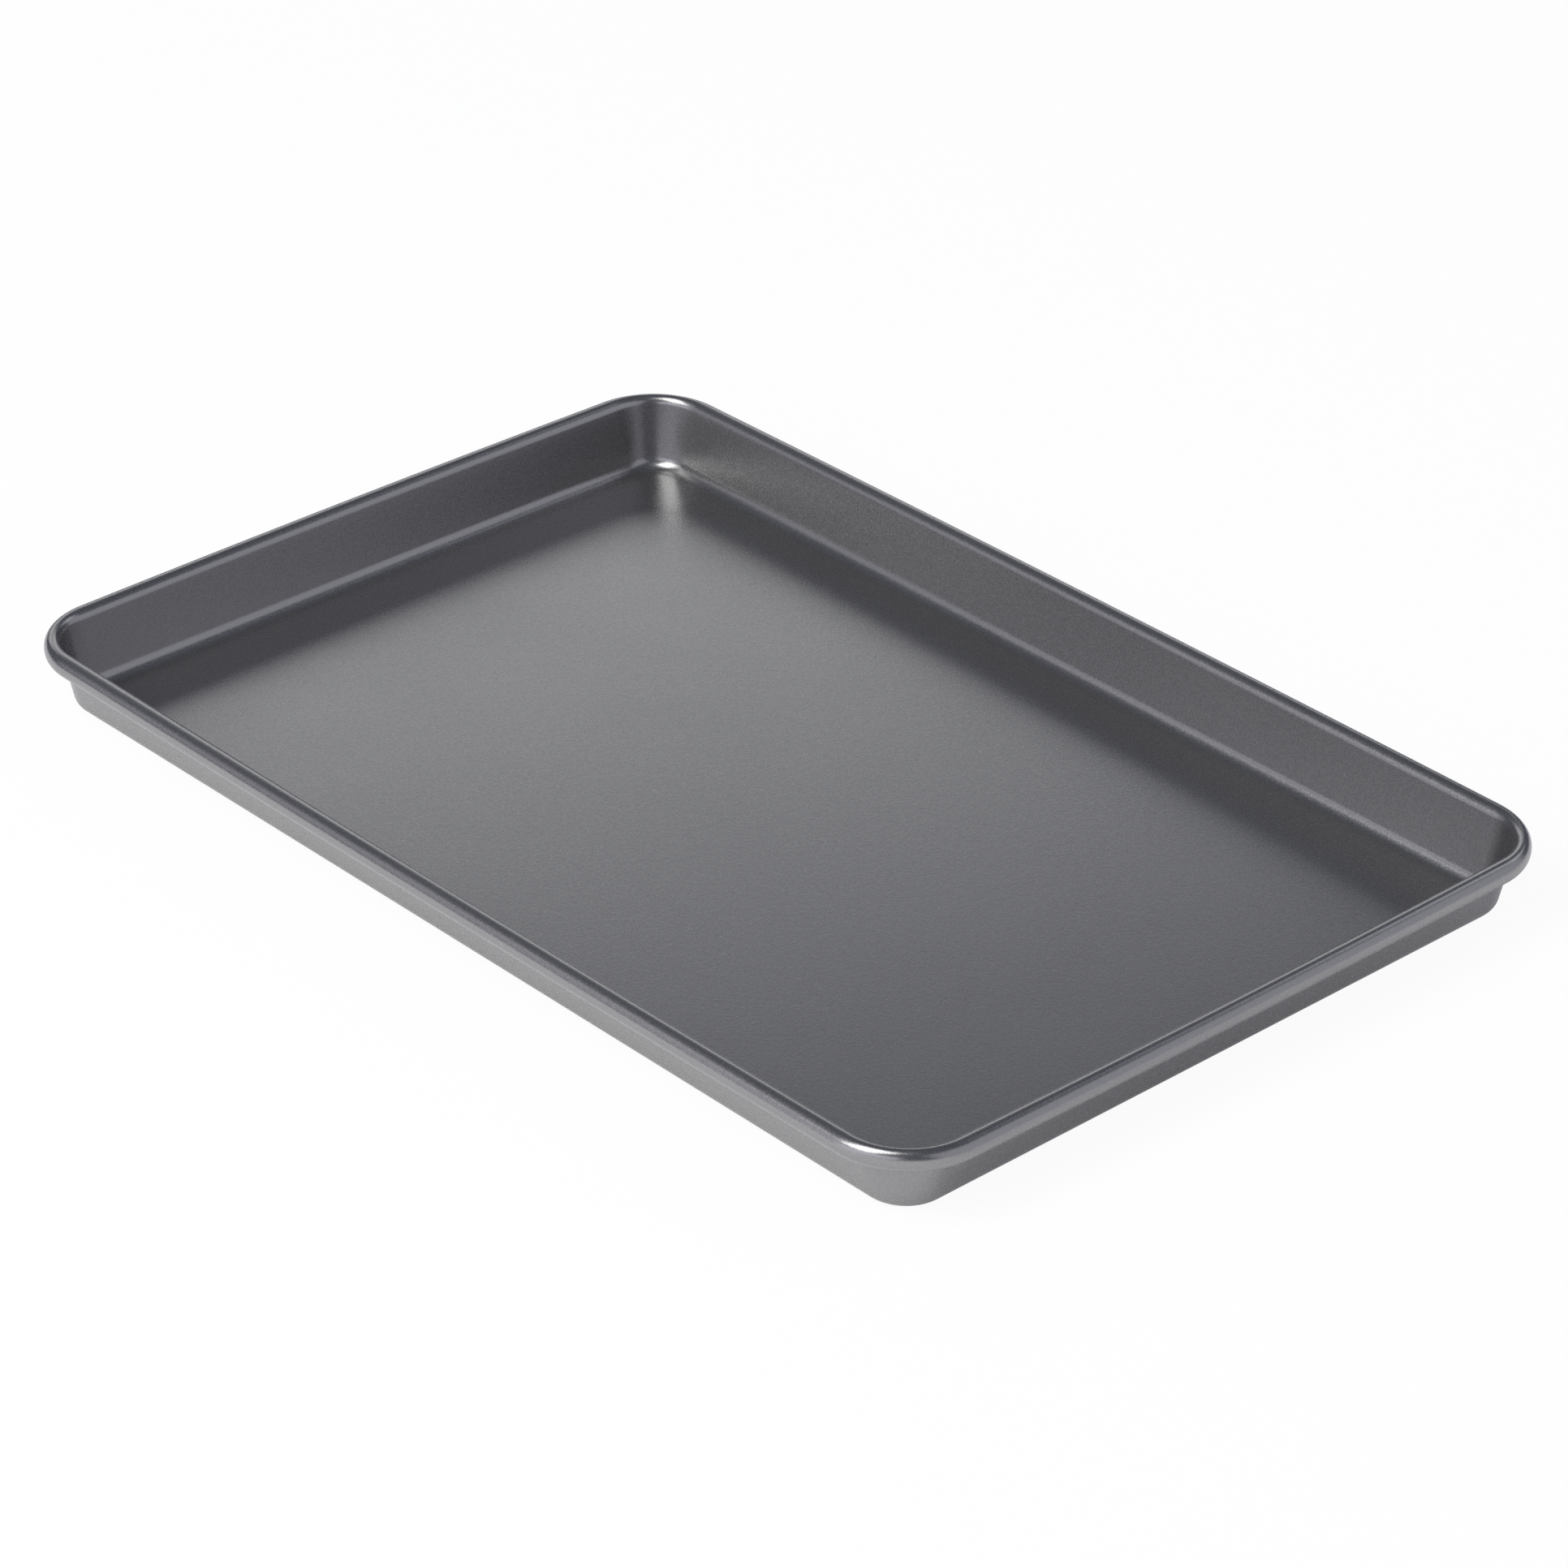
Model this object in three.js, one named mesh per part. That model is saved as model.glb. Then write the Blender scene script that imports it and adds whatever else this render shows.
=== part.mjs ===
// Cookie sheet: a shallow pan pressed from one steel blank, with its rim rolled over a stiffening wire.
// Millimetres, +Z up. The origin is the middle of the underside, X runs along the long sides.

import * as THREE from 'three';

// Driving dimensions
const RIM_LENGTH = 438; // over the rolled rim, along X
const RIM_WIDTH = 293; // over the rolled rim, along Y
const PAN_HEIGHT = 26.6; // underside to the top of the rim
const SHEET = 0.7; // thickness of the coated steel
const BEAD_DIAMETER = 7.4; // outside of the rolled rim, along the sides
const CORNER_BEAD = 5.6; // width of the rolled rim at the corners, where the drawn metal is scarcer
const CURL_TURN = 305; // degrees that the rim is rolled, from the wall to its raw edge
const RIM_CORNER = 30.4; // plan radius of the outermost line of the rim
const FLOOR_CORNER = 9.8; // plan radius of the flat floor
const FOOT_RADIUS = 5.8; // outside of the bend between floor and wall
const WALL_DRAFT = 12; // degrees that the walls lean outwards
const SIDE_BOW = 1; // how far the rim stands out in the middle of each side
const WIRE_CLEARANCE = 0.3; // between the wire and the rolled rim
const WIRE_GAP = 1.5; // between the butted ends of the wire

// Facets
const CORNER_STEPS = 10; // per quarter turn in plan
const SIDE_STEPS = 4; // per side, along the bow
const FOOT_STEPS = 5; // around the foot bend
const CURL_STEPS = 20; // around the rolled rim
const WIRE_STEPS = 16; // around the wire

// The sheet's section, where an inset is measured inwards from the outermost line of the rim
const draft = THREE.MathUtils.degToRad(WALL_DRAFT);
const beadRadius = BEAD_DIAMETER / 2;
const boreRadius = beadRadius - SHEET;
const beadCentre = new THREE.Vector2(beadRadius, PAN_HEIGHT - beadRadius);
const footCentre = findFootCentre();

// At a square corner, one millimetre less plan radius moves the apex out by this much.
const APEX_SHIFT = Math.SQRT2 - 1;
const beadSqueeze = CORNER_BEAD / BEAD_DIAMETER;
const beadTightening = (Math.SQRT2 - beadSqueeze) / APEX_SHIFT;

// The wire lies against the outside of the curl, and just fills its bore at the corners.
const wireRadius = boreRadius * Math.min(1, beadSqueeze) - WIRE_CLEARANCE;
const wireCentre = new THREE.Vector2(SHEET + WIRE_CLEARANCE + wireRadius, beadCentre.y);
const wireCornerShift = (beadCentre.x * beadSqueeze - wireCentre.x) / APEX_SHIFT;

// Plan radius of the corners at an inset, for each of the three forms
const rimCornerAt = (inset) => RIM_CORNER - beadTightening * inset;
const footCornerAt = (inset) => FLOOR_CORNER + footCentre.x - inset;
const wireCornerAt = (inset) => RIM_CORNER - inset + wireCornerShift;

// The foot's arc touches the underside and the wall, and the wall touches the bore of the curl.
function findFootCentre() {
  const wallNormal = new THREE.Vector2(Math.cos(draft), Math.sin(draft));
  const wallDown = new THREE.Vector2(Math.sin(draft), -Math.cos(draft));
  const besideWall = beadCentre.clone().addScaledVector(wallNormal, boreRadius + FOOT_RADIUS);
  const wallLength = (besideWall.y - FOOT_RADIUS) / Math.cos(draft);
  return besideWall.addScaledVector(wallDown, wallLength);
}

// Closed outlines of the pan in plan, one for each point of an arc in the section.
function arcOutlines(centre, radius, fromAngle, toAngle, steps, cornerAt, bow) {
  const arc = new THREE.EllipseCurve(centre.x, centre.y, radius, radius, fromAngle, toAngle, toAngle < fromAngle);
  return arc.getPoints(steps).map(({ x: inset, y: height }) => planOutline(inset, height, cornerAt(inset), bow));
}

// One closed outline: round corners joined by gently bowed sides, from the middle of +X anticlockwise.
function planOutline(inset, height, corner, bow) {
  const halfLength = RIM_LENGTH / 2 - SIDE_BOW - inset;
  const halfWidth = RIM_WIDTH / 2 - SIDE_BOW - inset;
  const corners = [[1, 1], [-1, 1], [-1, -1], [1, -1]].map(([signX, signY], quarter) => {
    const start = quarter * Math.PI / 2;
    const x = signX * (halfLength - corner);
    const y = signY * (halfWidth - corner);
    return new THREE.EllipseCurve(x, y, corner, corner, start, start + Math.PI / 2).getPoints(CORNER_STEPS);
  });
  const outline = corners.flatMap((arc, quarter) => {
    const from = arc[CORNER_STEPS];
    const to = corners[(quarter + 1) % corners.length][0];
    const outward = new THREE.Vector2(to.y - from.y, from.x - to.x).normalize();
    const control = from.clone().lerp(to, 0.5).addScaledVector(outward, 2 * bow);
    const side = new THREE.QuadraticBezierCurve(from, control, to).getPoints(SIDE_STEPS);
    return [...arc, ...side.slice(1, -1)];
  });
  return outline.map((point) => new THREE.Vector3(point.x, point.y, height));
}

// Faces between two rows of points, each row running anticlockwise.
function stripFaces(rowStart, nextStart, count, closed) {
  const faces = [];
  for (let i = 0; i < (closed ? count : count - 1); i += 1) {
    const j = (i + 1) % count;
    faces.push(rowStart + i, nextStart + i, nextStart + j, rowStart + i, nextStart + j, rowStart + j);
  }
  return faces;
}

// Faces over a flat end, where vertexAt(i) is the index of its i-th point.
function capFaces(points, vertexAt, flip) {
  return THREE.ShapeUtils.triangulateShape(points, []).flatMap((triangle) => {
    const [a, b, c] = triangle.map(vertexAt);
    return flip ? [a, c, b] : [a, b, c];
  });
}

function solid(points, faces) {
  const geometry = new THREE.BufferGeometry().setFromPoints(points);
  geometry.setIndex(faces);
  geometry.computeVertexNormals();
  return geometry;
}

// The pressing: from the baking floor up the inside, round the curl to its raw edge, and back to the underside.
function panShellGeometry() {
  const rawEdge = draft + THREE.MathUtils.degToRad(CURL_TURN);
  const floorAngle = -Math.PI / 2;
  const wallAngle = draft - Math.PI;
  const rings = [
    ...arcOutlines(footCentre, FOOT_RADIUS - SHEET, floorAngle, wallAngle, FOOT_STEPS, footCornerAt, 0),
    ...arcOutlines(beadCentre, beadRadius, draft, rawEdge, CURL_STEPS, rimCornerAt, SIDE_BOW),
    ...arcOutlines(beadCentre, boreRadius, rawEdge, draft, CURL_STEPS, rimCornerAt, SIDE_BOW),
    ...arcOutlines(footCentre, FOOT_RADIUS, wallAngle, floorAngle, FOOT_STEPS, footCornerAt, 0),
  ];
  const count = rings[0].length;
  const last = (rings.length - 1) * count;
  const faces = rings.slice(1).flatMap((_, k) => stripFaces(k * count, (k + 1) * count, count, true));
  faces.push(...capFaces(rings[0], (i) => i, false));
  faces.push(...capFaces(rings.at(-1), (i) => last + i, true));
  return solid(rings.flat(), faces);
}

// The wire is bent to one loop, and its ends meet in the middle of a long side.
function rimWireGeometry() {
  const middle = CORNER_STEPS + SIDE_STEPS / 2;
  const halfGap = new THREE.Vector3(WIRE_GAP / 2, 0, 0);
  const loops = arcOutlines(wireCentre, wireRadius, 0, 2 * Math.PI, WIRE_STEPS, wireCornerAt, SIDE_BOW).slice(0, -1);
  const rows = loops.map((loop) => {
    const start = loop[middle].clone().sub(halfGap);
    const end = loop[middle].clone().add(halfGap);
    return [start, ...loop.slice(middle + 1), ...loop.slice(0, middle), end];
  });
  const count = rows[0].length;
  const section = rows.map(([start]) => new THREE.Vector2(-start.y, start.z));
  const faces = rows.flatMap((_, k) => stripFaces(k * count, ((k + 1) % rows.length) * count, count, false));
  faces.push(...capFaces(section, (i) => i * count, true));
  faces.push(...capFaces(section, (i) => i * count + count - 1, false));
  return solid(rows.flat(), faces);
}

function panShell() {
  const coating = new THREE.MeshStandardMaterial({ color: 0x58575b, roughness: 0.38, metalness: 0.7 });
  const mesh = new THREE.Mesh(panShellGeometry(), coating);
  mesh.name = 'pan_shell';
  return mesh;
}

function rimWire() {
  const galvanised = new THREE.MeshStandardMaterial({ color: 0x9a9da0, roughness: 0.45, metalness: 1 });
  const mesh = new THREE.Mesh(rimWireGeometry(), galvanised);
  mesh.name = 'rim_wire';
  return mesh;
}

const cookieSheet = new THREE.Group();
cookieSheet.name = 'cookie_sheet';
cookieSheet.add(panShell(), rimWire());

export default cookieSheet;
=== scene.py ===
"""Studio scene of the cookie sheet: drawn shell, rim wire, their finishes, the lights and the camera."""

import logging
import math
from collections.abc import Mapping, Sequence
from dataclasses import astuple, dataclass, fields
from enum import Enum
from typing import Any, Union

import bpy
from mathutils import Matrix, Quaternion, Vector


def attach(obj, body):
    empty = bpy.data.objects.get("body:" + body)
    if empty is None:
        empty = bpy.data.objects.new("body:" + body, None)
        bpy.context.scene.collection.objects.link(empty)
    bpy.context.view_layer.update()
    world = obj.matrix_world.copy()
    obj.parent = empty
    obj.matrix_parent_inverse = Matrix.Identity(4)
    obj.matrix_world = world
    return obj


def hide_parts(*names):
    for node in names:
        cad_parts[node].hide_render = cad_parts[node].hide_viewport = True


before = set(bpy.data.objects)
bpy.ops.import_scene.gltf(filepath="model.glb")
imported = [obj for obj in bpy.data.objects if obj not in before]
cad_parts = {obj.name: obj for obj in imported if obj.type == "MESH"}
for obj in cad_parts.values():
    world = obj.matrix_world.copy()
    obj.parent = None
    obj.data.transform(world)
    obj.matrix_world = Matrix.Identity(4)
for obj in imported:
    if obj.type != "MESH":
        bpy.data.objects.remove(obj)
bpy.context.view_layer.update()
LOG = logging.getLogger("cookie_sheet")

Colour = tuple[float, float, float]
Term = Union["Wire", float]

PLAIN_WHITE: Colour = (1.0, 1.0, 1.0)
COOL_WHITE: Colour = (1.0, 0.985, 1.09)
NOISE_MIDDLE = 0.5  # the average of a noise and of a random channel
QUARTER_TURN = math.pi / 2


class Body(Enum):
    """The bodies that a piece can ride on."""

    SHEET = "root"


class Node(Enum):
    """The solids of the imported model."""

    PAN_SHELL = "pan_shell"
    RIM_WIRE = "rim_wire"


class Slot(Enum):
    """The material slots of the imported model."""

    COATED_STEEL = "coated_steel"
    GALVANISED_WIRE = "galvanised_wire"


class Wire:
    """An output socket that takes part in arithmetic, each step of which adds a Math node."""

    def __init__(self, tree: "TreeBuilder", socket: bpy.types.NodeSocket) -> None:
        """Keep the output socket and the builder that adds its Math nodes."""
        self.tree = tree
        self.socket = socket

    def __add__(self, other: Term) -> "Wire":
        """Return the sum."""
        return self.tree.math("ADD", self, other)

    def __radd__(self, other: Term) -> "Wire":
        """Return the sum, with the number first."""
        return self.tree.math("ADD", other, self)

    def __sub__(self, other: Term) -> "Wire":
        """Return the difference."""
        return self.tree.math("SUBTRACT", self, other)

    def __rsub__(self, other: Term) -> "Wire":
        """Return the difference, with the number first."""
        return self.tree.math("SUBTRACT", other, self)

    def __mul__(self, other: Term) -> "Wire":
        """Return the product."""
        return self.tree.math("MULTIPLY", self, other)

    def __rmul__(self, other: Term) -> "Wire":
        """Return the product, with the number first."""
        return self.tree.math("MULTIPLY", other, self)

    def __truediv__(self, other: Term) -> "Wire":
        """Return the quotient."""
        return self.tree.math("DIVIDE", self, other)

    def floor(self) -> "Wire":
        """Return the whole part."""
        return self.tree.math("FLOOR", self)

    def cos(self) -> "Wire":
        """Return the cosine."""
        return self.tree.math("COSINE", self)

    def sin(self) -> "Wire":
        """Return the sine."""
        return self.tree.math("SINE", self)

    def at_least(self, other: Term) -> "Wire":
        """Return the larger of the two."""
        return self.tree.math("MAXIMUM", self, other)

    def at_most(self, other: Term) -> "Wire":
        """Return the smaller of the two."""
        return self.tree.math("MINIMUM", self, other)


class TreeBuilder:
    """Adds nodes and links to one shader tree or geometry tree."""

    def __init__(self, tree: bpy.types.NodeTree) -> None:
        """Keep the tree."""
        self.tree = tree

    def node(
        self,
        kind: str,
        settings: Mapping[str, Any] | None = None,
        sockets: Mapping[str | int, Any] | None = None,
    ) -> bpy.types.Node:
        """Add a node, set it up and feed its sockets.

        Args:
            kind: The node's type.
            settings: Its properties, which are set first.
            sockets: Values or wires, by the name or number of the input socket.

        Returns:
            The new node.
        """
        node = self.tree.nodes.new(kind)
        for name, value in (settings or {}).items():
            setattr(node, name, value)
        for key, value in (sockets or {}).items():
            socket = node.inputs[key] if isinstance(key, int) else self._named(node.inputs, key)
            if isinstance(value, Wire):
                self.tree.links.new(value.socket, socket)
            else:
                socket.default_value = value
        return node

    def wire(
        self,
        kind: str,
        output: str,
        settings: Mapping[str, Any] | None = None,
        sockets: Mapping[str | int, Any] | None = None,
    ) -> Wire:
        """Add a node and return its output of that name."""
        node = self.node(kind, settings, sockets)
        return Wire(self, self._named(node.outputs, output))

    def math(self, operation: str, *terms: Term) -> Wire:
        """Return the result of a Math node, with its terms in the order of its inputs."""
        return self.wire("ShaderNodeMath", "Value", {"operation": operation}, dict(enumerate(terms)))

    def vector_math(self, operation: str, *terms: Union[Wire, Colour]) -> Wire:
        """Return the vector of a Vector Math node, with its terms in the order of its inputs."""
        return self.wire("ShaderNodeVectorMath", "Vector", {"operation": operation}, dict(enumerate(terms)))

    def vector(self, x: Term, y: Term, z: Term) -> Wire:
        """Return three numbers joined to a vector."""
        return self.wire("ShaderNodeCombineXYZ", "Vector", sockets={"X": x, "Y": y, "Z": z})

    def blend(self, share: Wire, first: Colour, second: Colour) -> Wire:
        """Return a mix of two colours, where the share is that of the second."""
        sockets = {"Factor": share, "A": (*first, 1.0), "B": (*second, 1.0)}
        return self.wire("ShaderNodeMix", "Result", {"data_type": "RGBA"}, sockets)

    @staticmethod
    def _named(sockets: Sequence[bpy.types.NodeSocket], name: str) -> bpy.types.NodeSocket:
        """Return the socket in use that has a name."""
        return next(socket for socket in sockets if socket.name == name and socket.enabled)


class SurfaceBuilder(TreeBuilder):
    """Builds the shader tree of one material on Object coordinates."""

    def __init__(self, name: str) -> None:
        """Start an empty material.

        Args:
            name: The material's name.
        """
        self.material = bpy.data.materials.new(name)
        self.material.use_nodes = True
        super().__init__(self.material.node_tree)
        self.tree.nodes.clear()
        self.place = self.wire("ShaderNodeTexCoord", "Object")

    def noise(self, size: float, detail: float) -> Wire:
        """Return a noise from 0 to 1, with grains of a size in metres and so many finer octaves."""
        sockets = {"Vector": self.place, "Scale": 1.0 / size, "Detail": detail}
        return self.wire("ShaderNodeTexNoise", "Fac", sockets=sockets)

    def cells(self, size: float) -> Wire:
        """Return a random colour for each grain of a loose packing, with grains of a size in metres."""
        sockets = {"Vector": self.place, "Scale": 1.0 / size}
        return self.wire("ShaderNodeTexVoronoi", "Color", sockets=sockets)

    def tilted_normal(self, colour: Wire, tilt: float) -> Wire:
        """Lean the surface's normal a little to a side that a colour gives.

        Args:
            colour: A random colour, whose channels run from 0 to 1.
            tilt: The lean for a whole channel, as a share of the normal's length.

        Returns:
            The leaned normal.
        """
        normal = self.wire("ShaderNodeNewGeometry", "Normal")
        side = self.vector_math("SUBTRACT", colour, (NOISE_MIDDLE, NOISE_MIDDLE, NOISE_MIDDLE))
        lean = self.vector_math("MULTIPLY", side, (tilt, tilt, tilt))
        return self.vector_math("NORMALIZE", self.vector_math("ADD", normal, lean))

    def bump(self, height: Wire, depth: float, normal: Wire | None = None) -> Wire:
        """Tilt a normal by a height field.

        Args:
            height: The height, from 0 to 1.
            depth: The height of 1 in metres.
            normal: The normal before that, or None for the surface's own.

        Returns:
            The tilted normal.
        """
        sockets: dict[str | int, Any] = {"Distance": depth, "Height": height}
        if normal:
            sockets["Normal"] = normal
        return self.wire("ShaderNodeBump", "Normal", sockets=sockets)

    def output(self, shader: Wire) -> bpy.types.Material:
        """Link the finished shader and return the material."""
        self.node("ShaderNodeOutputMaterial", sockets={"Surface": shader})
        return self.material


@dataclass(frozen=True)
class CoatedSteel:
    """The nonstick film: satin dark grey with metal flake in it, slightly uneven from the spray gun."""

    pale_flake: Colour = (0.3195, 0.318, 0.3145)
    dark_flake: Colour = (0.3035, 0.302, 0.2985)
    metal_share: float = 0.86
    gloss_roughness: float = 0.27
    flake_roughness: float = 0.05
    cloud_roughness: float = 0.05
    flake_size: float = 0.00045
    flake_tilt: float = 0.016
    cloud_size: float = 0.06
    orange_peel_size: float = 0.0012
    orange_peel_depth: float = 0.000014

    def material(self) -> bpy.types.Material:
        """Build the film's shader.

        Returns:
            The material of the coated sheet.
        """
        surface = SurfaceBuilder(Slot.COATED_STEEL.value)
        flake = surface.cells(self.flake_size)
        shade = surface.wire("ShaderNodeSeparateColor", "Red", sockets={0: flake})
        cloud = surface.noise(self.cloud_size, detail=2.0)
        peel = surface.noise(self.orange_peel_size, detail=1.0)
        flake_change = self.flake_roughness * (shade - NOISE_MIDDLE)
        cloud_change = self.cloud_roughness * (cloud - NOISE_MIDDLE)
        tilted = surface.tilted_normal(flake, self.flake_tilt)
        shader = surface.wire(
            "ShaderNodeBsdfPrincipled",
            "BSDF",
            sockets={
                "Base Color": surface.blend(shade, self.dark_flake, self.pale_flake),
                "Metallic": self.metal_share,
                "Roughness": self.gloss_roughness + flake_change + cloud_change,
                "Normal": surface.bump(peel, self.orange_peel_depth, tilted),
            },
        )
        return surface.output(shader)


@dataclass(frozen=True)
class GalvanisedWire:
    """Dull zinc on drawn wire, with pale and dark patches."""

    pale_zinc: Colour = (0.62, 0.63, 0.64)
    dark_zinc: Colour = (0.47, 0.48, 0.5)
    metal_share: float = 1.0
    roughness: float = 0.45
    patch_roughness: float = 0.15
    patch_size: float = 0.004
    grain_size: float = 0.0006
    grain_depth: float = 0.00004

    def material(self) -> bpy.types.Material:
        """Build the zinc's shader.

        Returns:
            The material of the wire.
        """
        surface = SurfaceBuilder(Slot.GALVANISED_WIRE.value)
        patches = surface.noise(self.patch_size, detail=3.0)
        grain = surface.noise(self.grain_size, detail=2.0)
        shader = surface.wire(
            "ShaderNodeBsdfPrincipled",
            "BSDF",
            sockets={
                "Base Color": surface.blend(patches, self.dark_zinc, self.pale_zinc),
                "Metallic": self.metal_share,
                "Roughness": self.roughness + self.patch_roughness * (patches - NOISE_MIDDLE),
                "Normal": surface.bump(grain, self.grain_depth),
            },
        )
        return surface.output(shader)


@dataclass(frozen=True)
class PaperFloor:
    """White studio paper, nearly plain white to the camera, with a painted sheen that the metal mirrors.

    The painted sheen is a glow that only reflections see. It stands in for the paper being lit more away
    from the sheet's shade, is weakest along the middle of the sheet and rises with the square of the way
    across it.
    """

    white: Colour = (0.9, 0.9, 0.9)
    shade: Colour = (0.87, 0.87, 0.87)
    roughness: float = 0.9
    fibre_size: float = 0.02
    glow_seen: float = 0.92
    glow_strength: float = 1.02
    # painted sheen: a glow in reflections that stands in for the paper being lit more away from the sheet's
    # shade
    sheen_middle: float = 0.15
    sheen_rise: float = 6.0
    sheen_most: float = 0.31

    def material(self) -> bpy.types.Material:
        """Build the paper's shader.

        Returns:
            The material of the floor.
        """
        surface = SurfaceBuilder("studio_paper")
        fibres = surface.noise(self.fibre_size, detail=4.0)
        path = surface.node("ShaderNodeLightPath")
        kinds = ("Is Camera Ray", "Is Glossy Ray", "Is Transmission Ray")
        camera, glossy, through = (Wire(surface, path.outputs[kind]) for kind in kinds)
        across = surface.wire("ShaderNodeSeparateXYZ", "Y", sockets={0: surface.place})
        # painted sheen, which stands in for light on the paper and is weakest in the sheet's shade along
        # the middle
        painted_sheen = (self.sheen_middle + self.sheen_rise * across * across).at_most(self.sheen_most)
        paper = surface.wire(
            "ShaderNodeBsdfPrincipled",
            "BSDF",
            sockets={
                "Base Color": surface.blend(fibres, self.shade, self.white),
                "Roughness": self.roughness,
                "Emission Color": (glossy + through) * painted_sheen,
                "Emission Strength": 1.0,
            },
        )
        glow = surface.wire("ShaderNodeEmission", "Emission", sockets={"Strength": self.glow_strength})
        shares = {0: camera * self.glow_seen, 1: paper, 2: glow}
        return surface.output(surface.wire("ShaderNodeMixShader", "Shader", sockets=shares))


def placed(name: str, data: bpy.types.ID) -> bpy.types.Object:
    """Put a new object into the scene.

    Args:
        name: The object's name.
        data: Its mesh, light or camera.

    Returns:
        The object, at the origin.
    """
    item = bpy.data.objects.new(name, data)
    bpy.context.scene.collection.objects.link(item)
    return item


def even_angles(start: float, end: float, steps: int) -> list[float]:
    """Return evenly spaced angles, with both ends."""
    return [start + (end - start) * step / steps for step in range(steps + 1)]


@dataclass(frozen=True)
class SectionPoint:
    """A point of the sheet's section in metres, and how the outline through it runs round the pan."""

    inset: float
    height: float
    corner: float
    bow: float

    def towards(self, other: "SectionPoint", share: float) -> "SectionPoint":
        """Return the point a share of the way to another."""
        ends = zip(astuple(self), astuple(other))
        return SectionPoint(*(start + (end - start) * share for start, end in ends))


OUTLINE_LAWS = tuple(law.name for law in fields(SectionPoint))


@dataclass(frozen=True)
class PanShell:
    """The pressing: floor, foot bend, sloping walls and a rim rolled outwards, in metres and radians."""

    rim_length: float = 0.438
    rim_width: float = 0.293
    height: float = 0.0266
    sheet: float = 0.0007
    bead_diameter: float = 0.0074
    corner_bead: float = 0.0056
    curl_turn: float = math.radians(305)
    rim_corner: float = 0.0304
    floor_corner: float = 0.0098
    foot_radius: float = 0.0058
    wall_draft: float = math.radians(12)
    side_bow: float = 0.001
    floor_margin: float = 0.002
    corner_steps: int = 24
    side_steps: int = 16
    foot_steps: int = 14
    wall_steps: int = 8
    curl_steps: int = 44
    edge_steps: int = 4
    finish: CoatedSteel = CoatedSteel()

    @property
    def bead_centre(self) -> Vector:
        """The middle of the rolled rim, as inset and height."""
        radius = self.bead_diameter / 2
        return Vector((radius, self.height - radius))

    @property
    def foot_centre(self) -> Vector:
        """The middle of the foot's bend, which touches the underside and the wall.

        Returns:
            Its inset and height.
        """
        across_wall = Vector((math.cos(self.wall_draft), math.sin(self.wall_draft)))
        down_wall = Vector((math.sin(self.wall_draft), -math.cos(self.wall_draft)))
        bore = self.bead_diameter / 2 - self.sheet
        beside = self.bead_centre + across_wall * (bore + self.foot_radius)
        return beside + down_wall * ((beside.y - self.foot_radius) / math.cos(self.wall_draft))

    def rim_point(self, radius: float, angle: float) -> SectionPoint:
        """Find a point round the middle of the rolled rim.

        Args:
            radius: Its distance from that middle.
            angle: Its angle from the inward direction.

        Returns:
            The point, with the tighter corners that keep the rim narrow there.
        """
        inset, height = self.bead_centre + radius * Vector((math.cos(angle), math.sin(angle)))
        squeeze = self.corner_bead / self.bead_diameter
        tightening = (math.sqrt(2) - squeeze) / (math.sqrt(2) - 1)
        return SectionPoint(inset, height, self.rim_corner - tightening * inset, self.side_bow)

    def foot_point(self, radius: float, angle: float) -> SectionPoint:
        """Return a point round the middle of the foot's bend, whose corners share the floor's centres."""
        inset, height = self.foot_centre + radius * Vector((math.cos(angle), math.sin(angle)))
        return SectionPoint(inset, height, self.floor_corner + self.foot_centre.x - inset, 0.0)

    def floor_point(self, height: float) -> SectionPoint:
        """Return the point where the flat middle starts, at a height."""
        inset = self.foot_centre.x + self.floor_margin
        return SectionPoint(inset, height, self.floor_corner - self.floor_margin, 0.0)

    def section(self) -> list[SectionPoint]:
        """Follow the sheet from the floor up the inside, round the curl and back to the underside.

        Returns:
            The points of the section.
        """
        bead = self.bead_diameter / 2
        bore = bead - self.sheet
        edge_angle = self.wall_draft + self.curl_turn
        foot_angles = even_angles(-QUARTER_TURN, self.wall_draft - math.pi, self.foot_steps)
        curl_angles = even_angles(self.wall_draft, edge_angle, self.curl_steps)
        inside = [self.foot_point(self.foot_radius - self.sheet, angle) for angle in foot_angles]
        curl = [self.rim_point(bead, angle) for angle in curl_angles]
        lining = [self.rim_point(bore, angle) for angle in reversed(curl_angles)]
        outside = [self.foot_point(self.foot_radius, angle) for angle in reversed(foot_angles)]
        inner_wall = self.between(inside[-1], curl[0])
        outer_wall = self.between(lining[-1], outside[0])
        raw_edge = self.raw_edge(bead, edge_angle)
        start = self.floor_point(self.sheet)
        end = self.floor_point(0.0)
        return [start, *inside, *inner_wall, *curl, *raw_edge, *lining, *outer_wall, *outside, end]

    def between(self, start: SectionPoint, end: SectionPoint) -> list[SectionPoint]:
        """Return the points of a straight wall, without its ends."""
        return [start.towards(end, step / self.wall_steps) for step in range(1, self.wall_steps)]

    def raw_edge(self, bead: float, edge_angle: float) -> list[SectionPoint]:
        """Round the cut edge of the sheet.

        Args:
            bead: The radius of the curl's outer face.
            edge_angle: The angle at which the curl ends.

        Returns:
            The points between the outer face and the inner one.
        """
        half = self.sheet / 2
        points = []
        for step in range(1, self.edge_steps):
            turn = math.pi * step / self.edge_steps
            radius = bead - half + half * math.cos(turn)
            points.append(self.rim_point(radius, edge_angle + half * math.sin(turn) / bead))
        return points

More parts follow.
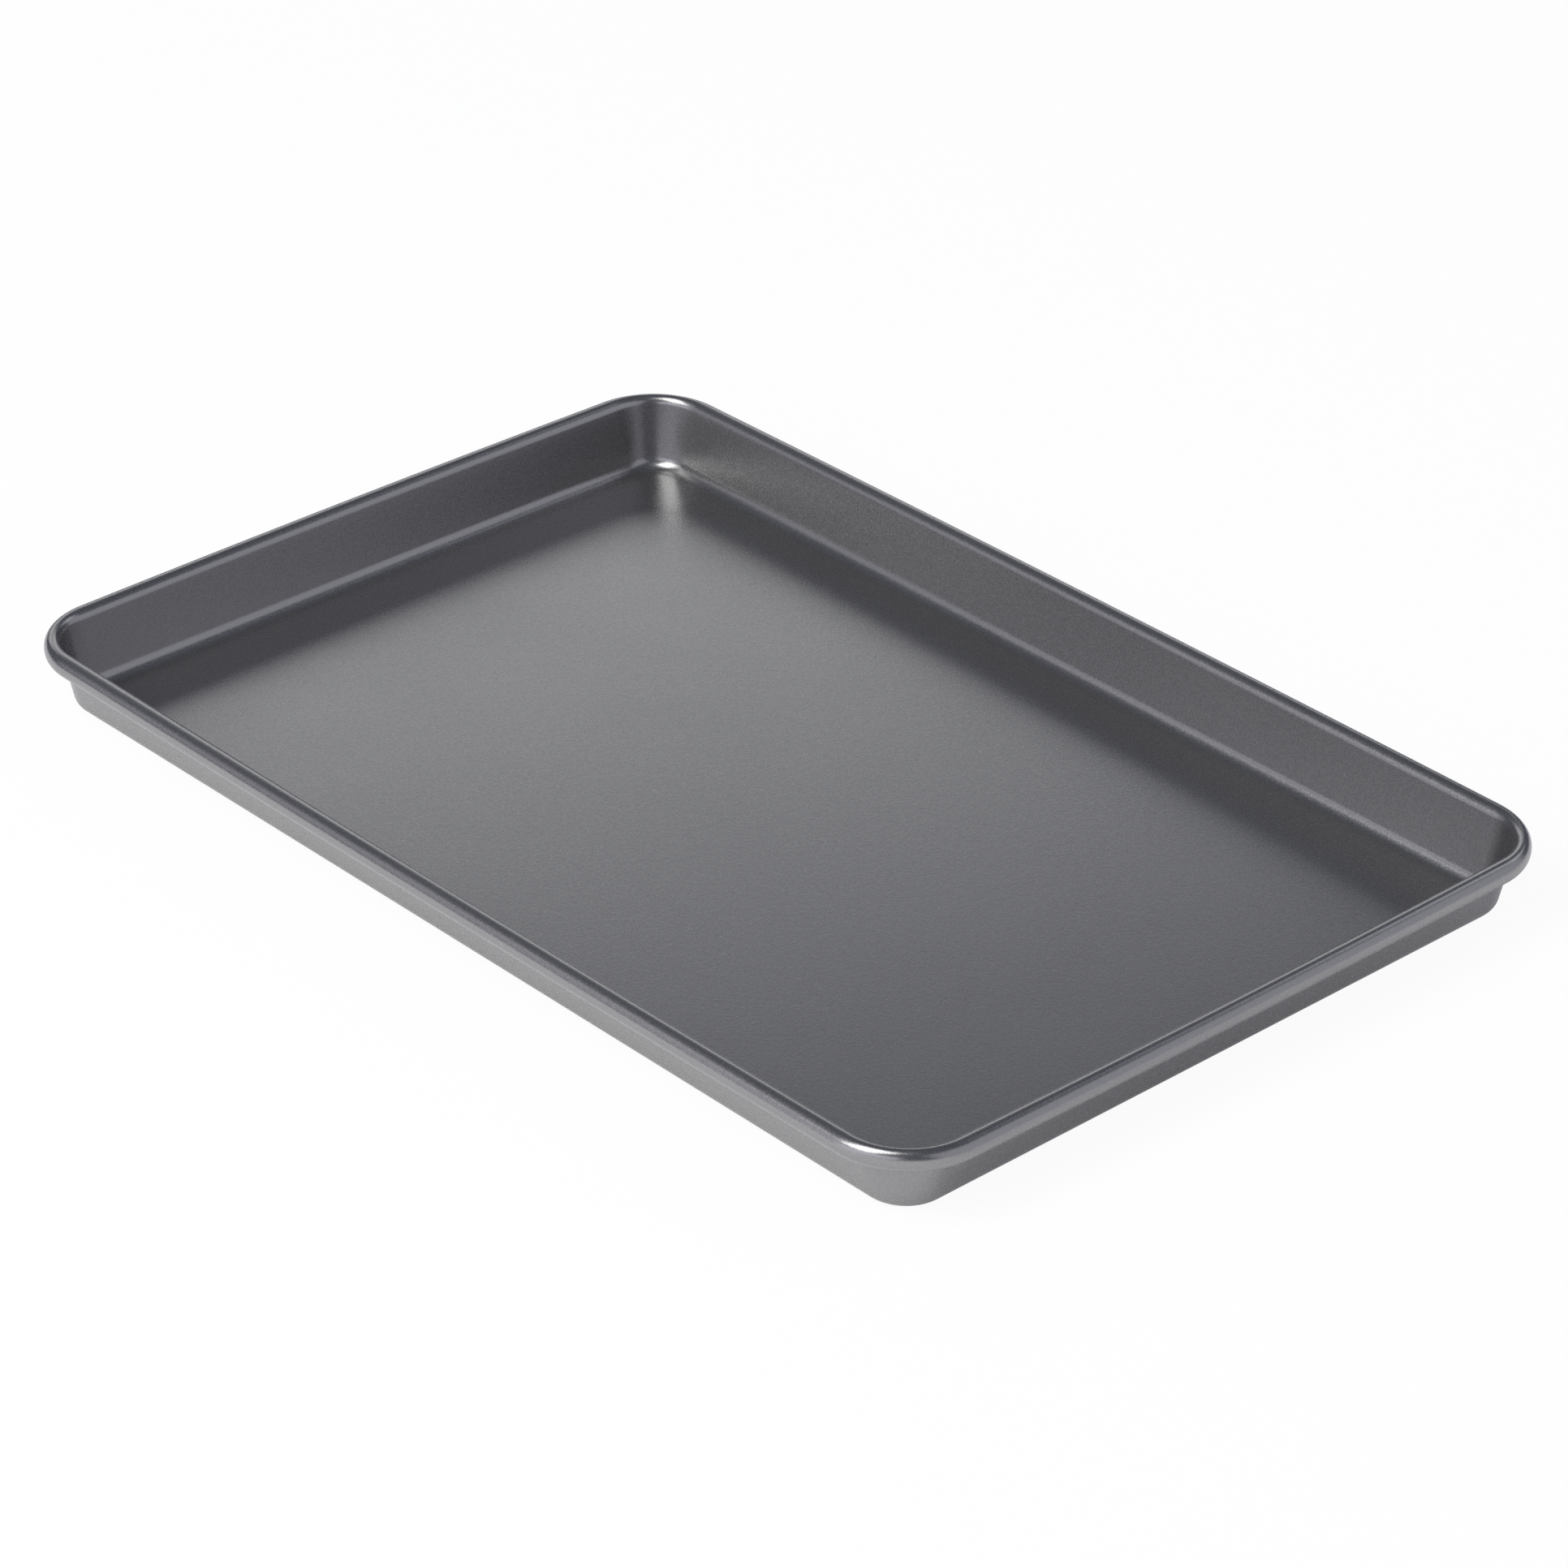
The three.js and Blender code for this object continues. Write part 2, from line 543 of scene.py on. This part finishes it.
    def section_mesh(self) -> bpy.types.Mesh:
        """Lay the section out as a chain of edges.

        Returns:
            The chain, with the outline laws as attributes of its points.
        """
        points = self.section()
        mesh = bpy.data.meshes.new("sheet_section")
        edges = [(first, first + 1) for first in range(len(points) - 1)]
        mesh.from_pydata([(point.inset, point.height, 0.0) for point in points], edges, [])
        for law in OUTLINE_LAWS:
            attribute = mesh.attributes.new(law, "FLOAT", "POINT")
            attribute.data.foreach_set("value", [getattr(point, law) for point in points])
        return mesh

    def build(self) -> bpy.types.Object:
        """Sweep the section round the pan, close it with the floor and give it its finish.

        Returns:
            The shell as a plain mesh object.
        """
        sizes = {
            "Half Length": self.rim_length / 2 - self.side_bow,
            "Half Width": self.rim_width / 2 - self.side_bow,
            "Floor Inset": self.foot_centre.x + self.floor_margin,
            "Floor Corner": self.floor_corner - self.floor_margin,
            "Sheet": self.sheet,
            "Corner Steps": self.corner_steps,
            "Side Steps": self.side_steps,
            "Material": self.finish.material(),
        }
        carrier = placed("section_carrier", self.section_mesh())
        mesh = PanSweep().evaluate(carrier, sizes)
        mesh.name = "drawn_shell"
        bpy.data.objects.remove(carrier)
        return placed("drawn_shell", mesh)


class PanSweep(TreeBuilder):
    """A geometry tree that carries a section round a rectangle with rounded corners and fills the floor."""

    SOCKETS = (
        ("Section", "NodeSocketGeometry"),
        ("Half Length", "NodeSocketFloat"),
        ("Half Width", "NodeSocketFloat"),
        ("Floor Inset", "NodeSocketFloat"),
        ("Floor Corner", "NodeSocketFloat"),
        ("Sheet", "NodeSocketFloat"),
        ("Corner Steps", "NodeSocketInt"),
        ("Side Steps", "NodeSocketInt"),
        ("Material", "NodeSocketMaterial"),
    )
    CORNERS = 4.0
    ROUNDING_GUARD = 1e-4  # keeps a whole quotient from falling just short
    WELD_DISTANCE = 0.000005

    def __init__(self) -> None:
        """Build the tree."""
        super().__init__(bpy.data.node_groups.new("pan_sweep", "GeometryNodeTree"))
        interface = self.tree.interface
        self.identifiers = {}
        for name, kind in self.SOCKETS:
            socket = interface.new_socket(name, in_out="INPUT", socket_type=kind)
            self.identifiers[name] = socket.identifier
        interface.new_socket("Shell", in_out="OUTPUT", socket_type="NodeSocketGeometry")
        entry = self.node("NodeGroupInput")
        self.given = {name: Wire(self, entry.outputs[name]) for name, _ in self.SOCKETS}
        path = self.marked_path()
        shell = self.closed_shell(self.swept_wall(path), self.filled_floor(path))
        self.node("NodeGroupOutput", sockets={"Shell": shell})

    def marked_path(self) -> Wire:
        """Make the ring of points that the section is carried along.

        Returns:
            The ring, whose points know their corner and their outward direction.
        """
        corner_steps = self.given["Corner Steps"]
        side_steps = self.given["Side Steps"]
        per_quarter = corner_steps + side_steps
        resolution = {"Resolution": per_quarter * self.CORNERS}
        ring = self.wire("GeometryNodeCurvePrimitiveCircle", "Curve", {"mode": "RADIUS"}, resolution)
        index = self.wire("GeometryNodeInputIndex", "Index")
        quarter = (index / per_quarter + self.ROUNDING_GUARD).floor()
        step = index - quarter * per_quarter
        turned = (step / corner_steps).at_most(1.0)
        along = (step - corner_steps).at_least(0.0) / side_steps
        angle = (quarter + turned) * QUARTER_TURN
        outward = self.vector(angle.cos(), angle.sin(), 0.0)
        corner_angle = (quarter + 0.5) * QUARTER_TURN
        next_angle = corner_angle + QUARTER_TURN
        corner_x = math.sqrt(2) * (corner_angle.cos() * (1.0 - along) + next_angle.cos() * along)
        corner_y = math.sqrt(2) * (corner_angle.sin() * (1.0 - along) + next_angle.sin() * along)
        marked = self.stored(ring, "outward", outward)
        return self.stored(marked, "corner_place", self.vector(corner_x, corner_y, 0.0))

    def stored(self, geometry: Wire, name: str, value: Wire) -> Wire:
        """Store a vector on the points of a geometry.

        Args:
            geometry: The geometry.
            name: The attribute's name.
            value: The vector.

        Returns:
            The geometry with the attribute.
        """
        settings = {"data_type": "FLOAT_VECTOR", "domain": "POINT"}
        sockets = {"Geometry": geometry, "Name": name, "Value": value}
        return self.wire("GeometryNodeStoreNamedAttribute", "Geometry", settings, sockets)

    def read(self, name: str, kind: str = "FLOAT") -> Wire:
        """Return an attribute of the points."""
        settings = {"data_type": kind}
        return self.wire("GeometryNodeInputNamedAttribute", "Attribute", settings, {"Name": name})

    def level_parts(self, name: str) -> list[Wire]:
        """Return the X and the Y of a vector that is stored on the points."""
        parts = self.node("ShaderNodeSeparateXYZ", sockets={0: self.read(name, "FLOAT_VECTOR")})
        return [Wire(self, parts.outputs[axis]) for axis in "XY"]

    def moved(self, geometry: Wire, way: str, value: Wire) -> Wire:
        """Return a geometry whose points have a new Position or an Offset, as the way says."""
        sockets = {"Geometry": geometry, way: value}
        return self.wire("GeometryNodeSetPosition", "Geometry", sockets=sockets)

    def outline_place(self, inset: Wire, height: Term, corner: Wire, bow: Term) -> Wire:
        """Find where a point of an outline lies.

        Args:
            inset: How far the outline lies inside the rim's outermost line.
            height: Its height.
            corner: Its corner radius.
            bow: How far its sides stand out in their middles.

        Returns:
            The position.
        """
        corner_x, corner_y = self.level_parts("corner_place")
        outward_x, outward_y = self.level_parts("outward")
        reach = corner + bow * (2.0 - corner_x * corner_x - corner_y * corner_y)
        x = (self.given["Half Length"] - inset - corner) * corner_x + reach * outward_x
        y = (self.given["Half Width"] - inset - corner) * corner_y + reach * outward_y
        return self.vector(x, y, height)

    def swept_wall(self, path: Wire) -> Wire:
        """Carry the section along the path.

        Args:
            path: The ring of marked points.

        Returns:
            The open strip from the floor round the curl to the underside.
        """
        profile = self.wire("GeometryNodeMeshToCurve", "Curve", sockets={"Mesh": self.given["Section"]})
        curves = {"Curve": path, "Profile Curve": profile}
        strip = self.wire("GeometryNodeCurveToMesh", "Mesh", sockets=curves)
        place = self.outline_place(*(self.read(law) for law in OUTLINE_LAWS))
        return self.moved(strip, "Position", place)

    def filled_floor(self, path: Wire) -> Wire:
        """Fill the flat middle.

        Args:
            path: The ring of marked points.

        Returns:
            Two faces, a sheet's thickness apart.
        """
        place = self.outline_place(self.given["Floor Inset"], 0.0, self.given["Floor Corner"], 0.0)
        outline = self.moved(path, "Position", place)
        face = self.wire("GeometryNodeFillCurve", "Mesh", {"mode": "NGONS"}, {"Curve": outline})
        baking_face = self.moved(face, "Offset", self.vector(0.0, 0.0, self.given["Sheet"]))
        underside = self.wire("GeometryNodeFlipFaces", "Mesh", sockets={"Mesh": face})
        return self.gathered(baking_face, underside)

    def gathered(self, *parts: Wire) -> Wire:
        """Gather several geometries.

        Args:
            *parts: The geometries.

        Returns:
            All of them as one.
        """
        join = self.node("GeometryNodeJoinGeometry")
        for part in parts:
            self.tree.links.new(part.socket, join.inputs[0])
        return Wire(self, join.outputs[0])

    def closed_shell(self, wall: Wire, floor: Wire) -> Wire:
        """Weld the shell, smooth it and give it its finish.

        Args:
            wall: The strip round the pan.
            floor: The two faces of the floor.

        Returns:
            The finished geometry.
        """
        loose = {"Geometry": self.gathered(wall, floor), "Distance": self.WELD_DISTANCE}
        closed = self.wire("GeometryNodeMergeByDistance", "Geometry", sockets=loose)
        smooth = self.wire("GeometryNodeSetShadeSmooth", "Geometry", sockets={"Geometry": closed})
        real = self.wire("GeometryNodeRealizeInstances", "Geometry", sockets={"Geometry": smooth})
        sockets = {"Geometry": real, "Material": self.given["Material"]}
        return self.wire("GeometryNodeSetMaterial", "Geometry", sockets=sockets)

    def evaluate(self, carrier: bpy.types.Object, sizes: Mapping[str, Any]) -> bpy.types.Mesh:
        """Run the tree on an object.

        Args:
            carrier: The object that holds the section.
            sizes: The values of the tree's inputs, by name.

        Returns:
            The result as a plain mesh.
        """
        modifier = carrier.modifiers.new("pan_sweep", "NODES")
        modifier.node_group = self.tree
        for name, value in sizes.items():
            modifier[self.identifiers[name]] = value
        evaluated = carrier.evaluated_get(bpy.context.evaluated_depsgraph_get())
        mesh = bpy.data.meshes.new_from_object(evaluated)
        carrier.modifiers.remove(modifier)
        bpy.data.node_groups.remove(self.tree)
        return mesh


@dataclass(frozen=True)
class RimWire:
    """The stiffening wire in the curl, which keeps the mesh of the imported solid."""

    node: Node = Node.RIM_WIRE
    finish: GalvanisedWire = GalvanisedWire()

    def dress(self) -> bpy.types.Object:
        """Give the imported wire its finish.

        Returns:
            The wire.
        """
        wire = bpy.data.objects[self.node.value]
        material = self.finish.material()
        for slot in wire.material_slots:
            slot.material = material
        return wire


@dataclass(frozen=True)
class SoftBox:
    """An oblong lamp with a diffuser or a lit white board, which faces the sheet.

    Its angles are in degrees, with the azimuth from +X towards +Y, and its lengths in metres.
    Its brightness is the radiance of its face.
    """

    name: str
    azimuth: float
    elevation: float
    width: float
    height: float
    brightness: float
    turn: float = 0.0
    tint: Colour = PLAIN_WHITE
    distance: float = 3.0

    def build(self) -> bpy.types.Object:
        """Hang the lamp in its place.

        Returns:
            The lamp.
        """
        light = bpy.data.lights.new(self.name, "AREA")
        light.shape = "RECTANGLE"
        light.size = self.width
        light.size_y = self.height
        light.energy = self.brightness * math.pi * self.width * self.height
        light.color = self.tint
        azimuth = math.radians(self.azimuth)
        elevation = math.radians(self.elevation)
        plan = Vector((math.cos(azimuth), math.sin(azimuth), 0.0))
        place = self.distance * (plan * math.cos(elevation) + Vector((0.0, 0.0, math.sin(elevation))))
        turn = Quaternion((0.0, 0.0, 1.0), math.radians(self.turn))
        lamp = placed(self.name, light)
        lamp.location = place
        lamp.rotation_euler = (place.to_track_quat("Z", "Y") @ turn).to_euler()
        return lamp


KEY_BOX = SoftBox(
    "key_box", azimuth=263.8, elevation=52.0, width=1.75, height=2.3, brightness=5.2, turn=-10.0
)
BACK_BOARD = SoftBox(
    "back_board", azimuth=148.0, elevation=21.9, width=2.8, height=1.11, brightness=1.03, turn=7.0
)
RIGHT_BOARD = SoftBox(
    "right_board", azimuth=29.5, elevation=24.0, width=5.4, height=3.0, brightness=0.57, tint=COOL_WHITE
)
LEFT_BOARD = SoftBox(
    "left_board",
    azimuth=274.0,
    elevation=14.0,
    width=4.2,
    height=1.3,
    brightness=1.2,
    turn=6.0,
    tint=COOL_WHITE,
)
SIDE_BOARD = SoftBox(
    "side_board", azimuth=229.0, elevation=27.0, width=1.4, height=1.9, brightness=0.42, tint=COOL_WHITE
)
FILL_BOARD = SoftBox(
    "fill_board", azimuth=88.5, elevation=40.0, width=0.95, height=1.1, brightness=1.1, tint=COOL_WHITE
)


@dataclass(frozen=True)
class Studio:
    """A dim room with a paper floor, a large soft box and five lit white boards round the sheet."""

    floor_reach: float = 6.0
    room_grey: Colour = (0.062, 0.069, 0.105)
    paper: PaperFloor = PaperFloor()
    lamps: tuple[SoftBox, ...] = (KEY_BOX, BACK_BOARD, RIGHT_BOARD, LEFT_BOARD, SIDE_BOARD, FILL_BOARD)

    def build(self) -> bpy.types.Object:
        """Make the room, its lamps and its floor.

        Returns:
            The floor.
        """
        self.build_room()
        for lamp in self.lamps:
            lamp.build()
        return self.build_floor()

    def build_room(self) -> None:
        """Make the world: the even dim light of the room, which the camera itself sees as white."""
        world = bpy.data.worlds.new("studio_room")
        world.use_nodes = True
        bpy.context.scene.world = world
        room = TreeBuilder(world.node_tree)
        room.tree.nodes.clear()
        seen = room.wire("ShaderNodeLightPath", "Is Camera Ray")
        colour = room.blend(seen, self.room_grey, PLAIN_WHITE)
        light = room.wire("ShaderNodeBackground", "Background", sockets={"Color": colour})
        room.node("ShaderNodeOutputWorld", sockets={"Surface": light})

    def build_floor(self) -> bpy.types.Object:
        """Lay the paper that the sheet stands on.

        Returns:
            The floor, level with the underside of the sheet.
        """
        reach = self.floor_reach
        corners = [(-reach, -reach, 0.0), (reach, -reach, 0.0), (reach, reach, 0.0), (-reach, reach, 0.0)]
        mesh = bpy.data.meshes.new("paper_floor")
        mesh.from_pydata(corners, [], [(0, 1, 2, 3)])
        mesh.materials.append(self.paper.material())
        return placed("paper_floor", mesh)


@dataclass(frozen=True)
class ViewCamera:
    """The camera of the main picture, whose axis passes the origin at its two shifts.

    Its angles are in degrees, with the azimuth from -Y towards +X.
    Its distance, shifts and sight are in metres, its lens and sensor in millimetres.
    """

    azimuth: float = 47.2903
    elevation: float = 30.2508
    roll: float = 0.6649
    distance: float = 1.8922
    shift_right: float = 0.0056
    shift_up: float = 0.0053
    lens: float = 132.7
    sensor: float = 36.0
    sight: float = 50.0

    def build(self) -> bpy.types.Object:
        """Set the camera up as the scene's own.

        Returns:
            The camera.
        """
        azimuth = math.radians(self.azimuth)
        elevation = math.radians(self.elevation)
        roll = math.radians(self.roll)
        level = math.cos(elevation)
        back = Vector((math.sin(azimuth) * level, -math.cos(azimuth) * level, math.sin(elevation)))
        level_right = Vector((math.cos(azimuth), math.sin(azimuth), 0.0))
        level_up = back.cross(level_right)
        right = level_right * math.cos(roll) + level_up * math.sin(roll)
        up = level_up * math.cos(roll) - level_right * math.sin(roll)
        place = back * self.distance + right * self.shift_right + up * self.shift_up
        data = bpy.data.cameras.new("view_camera")
        data.sensor_width = self.sensor
        data.lens = self.lens
        data.clip_end = self.sight
        camera = placed("view_camera", data)
        camera.matrix_world = Matrix.Translation(place) @ Matrix((right, up, back)).transposed().to_4x4()
        bpy.context.scene.camera = camera
        return camera


def main() -> None:
    """Build the sheet and the studio in order, and report each piece."""
    logging.basicConfig(level=logging.INFO, format="%(message)s")
    bpy.context.scene.view_settings.view_transform = "Standard"
    ViewCamera().build()
    shell = PanShell().build()
    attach(shell, Body.SHEET.value)
    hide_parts(Node.PAN_SHELL.value)
    LOG.info("%s: %d faces", shell.name, len(shell.data.polygons))
    wire = RimWire().dress()
    LOG.info("%s: dressed in zinc", wire.name)
    floor = Studio().build()
    LOG.info("%s: laid under the sheet", floor.name)


if __name__ == "__main__":
    main()
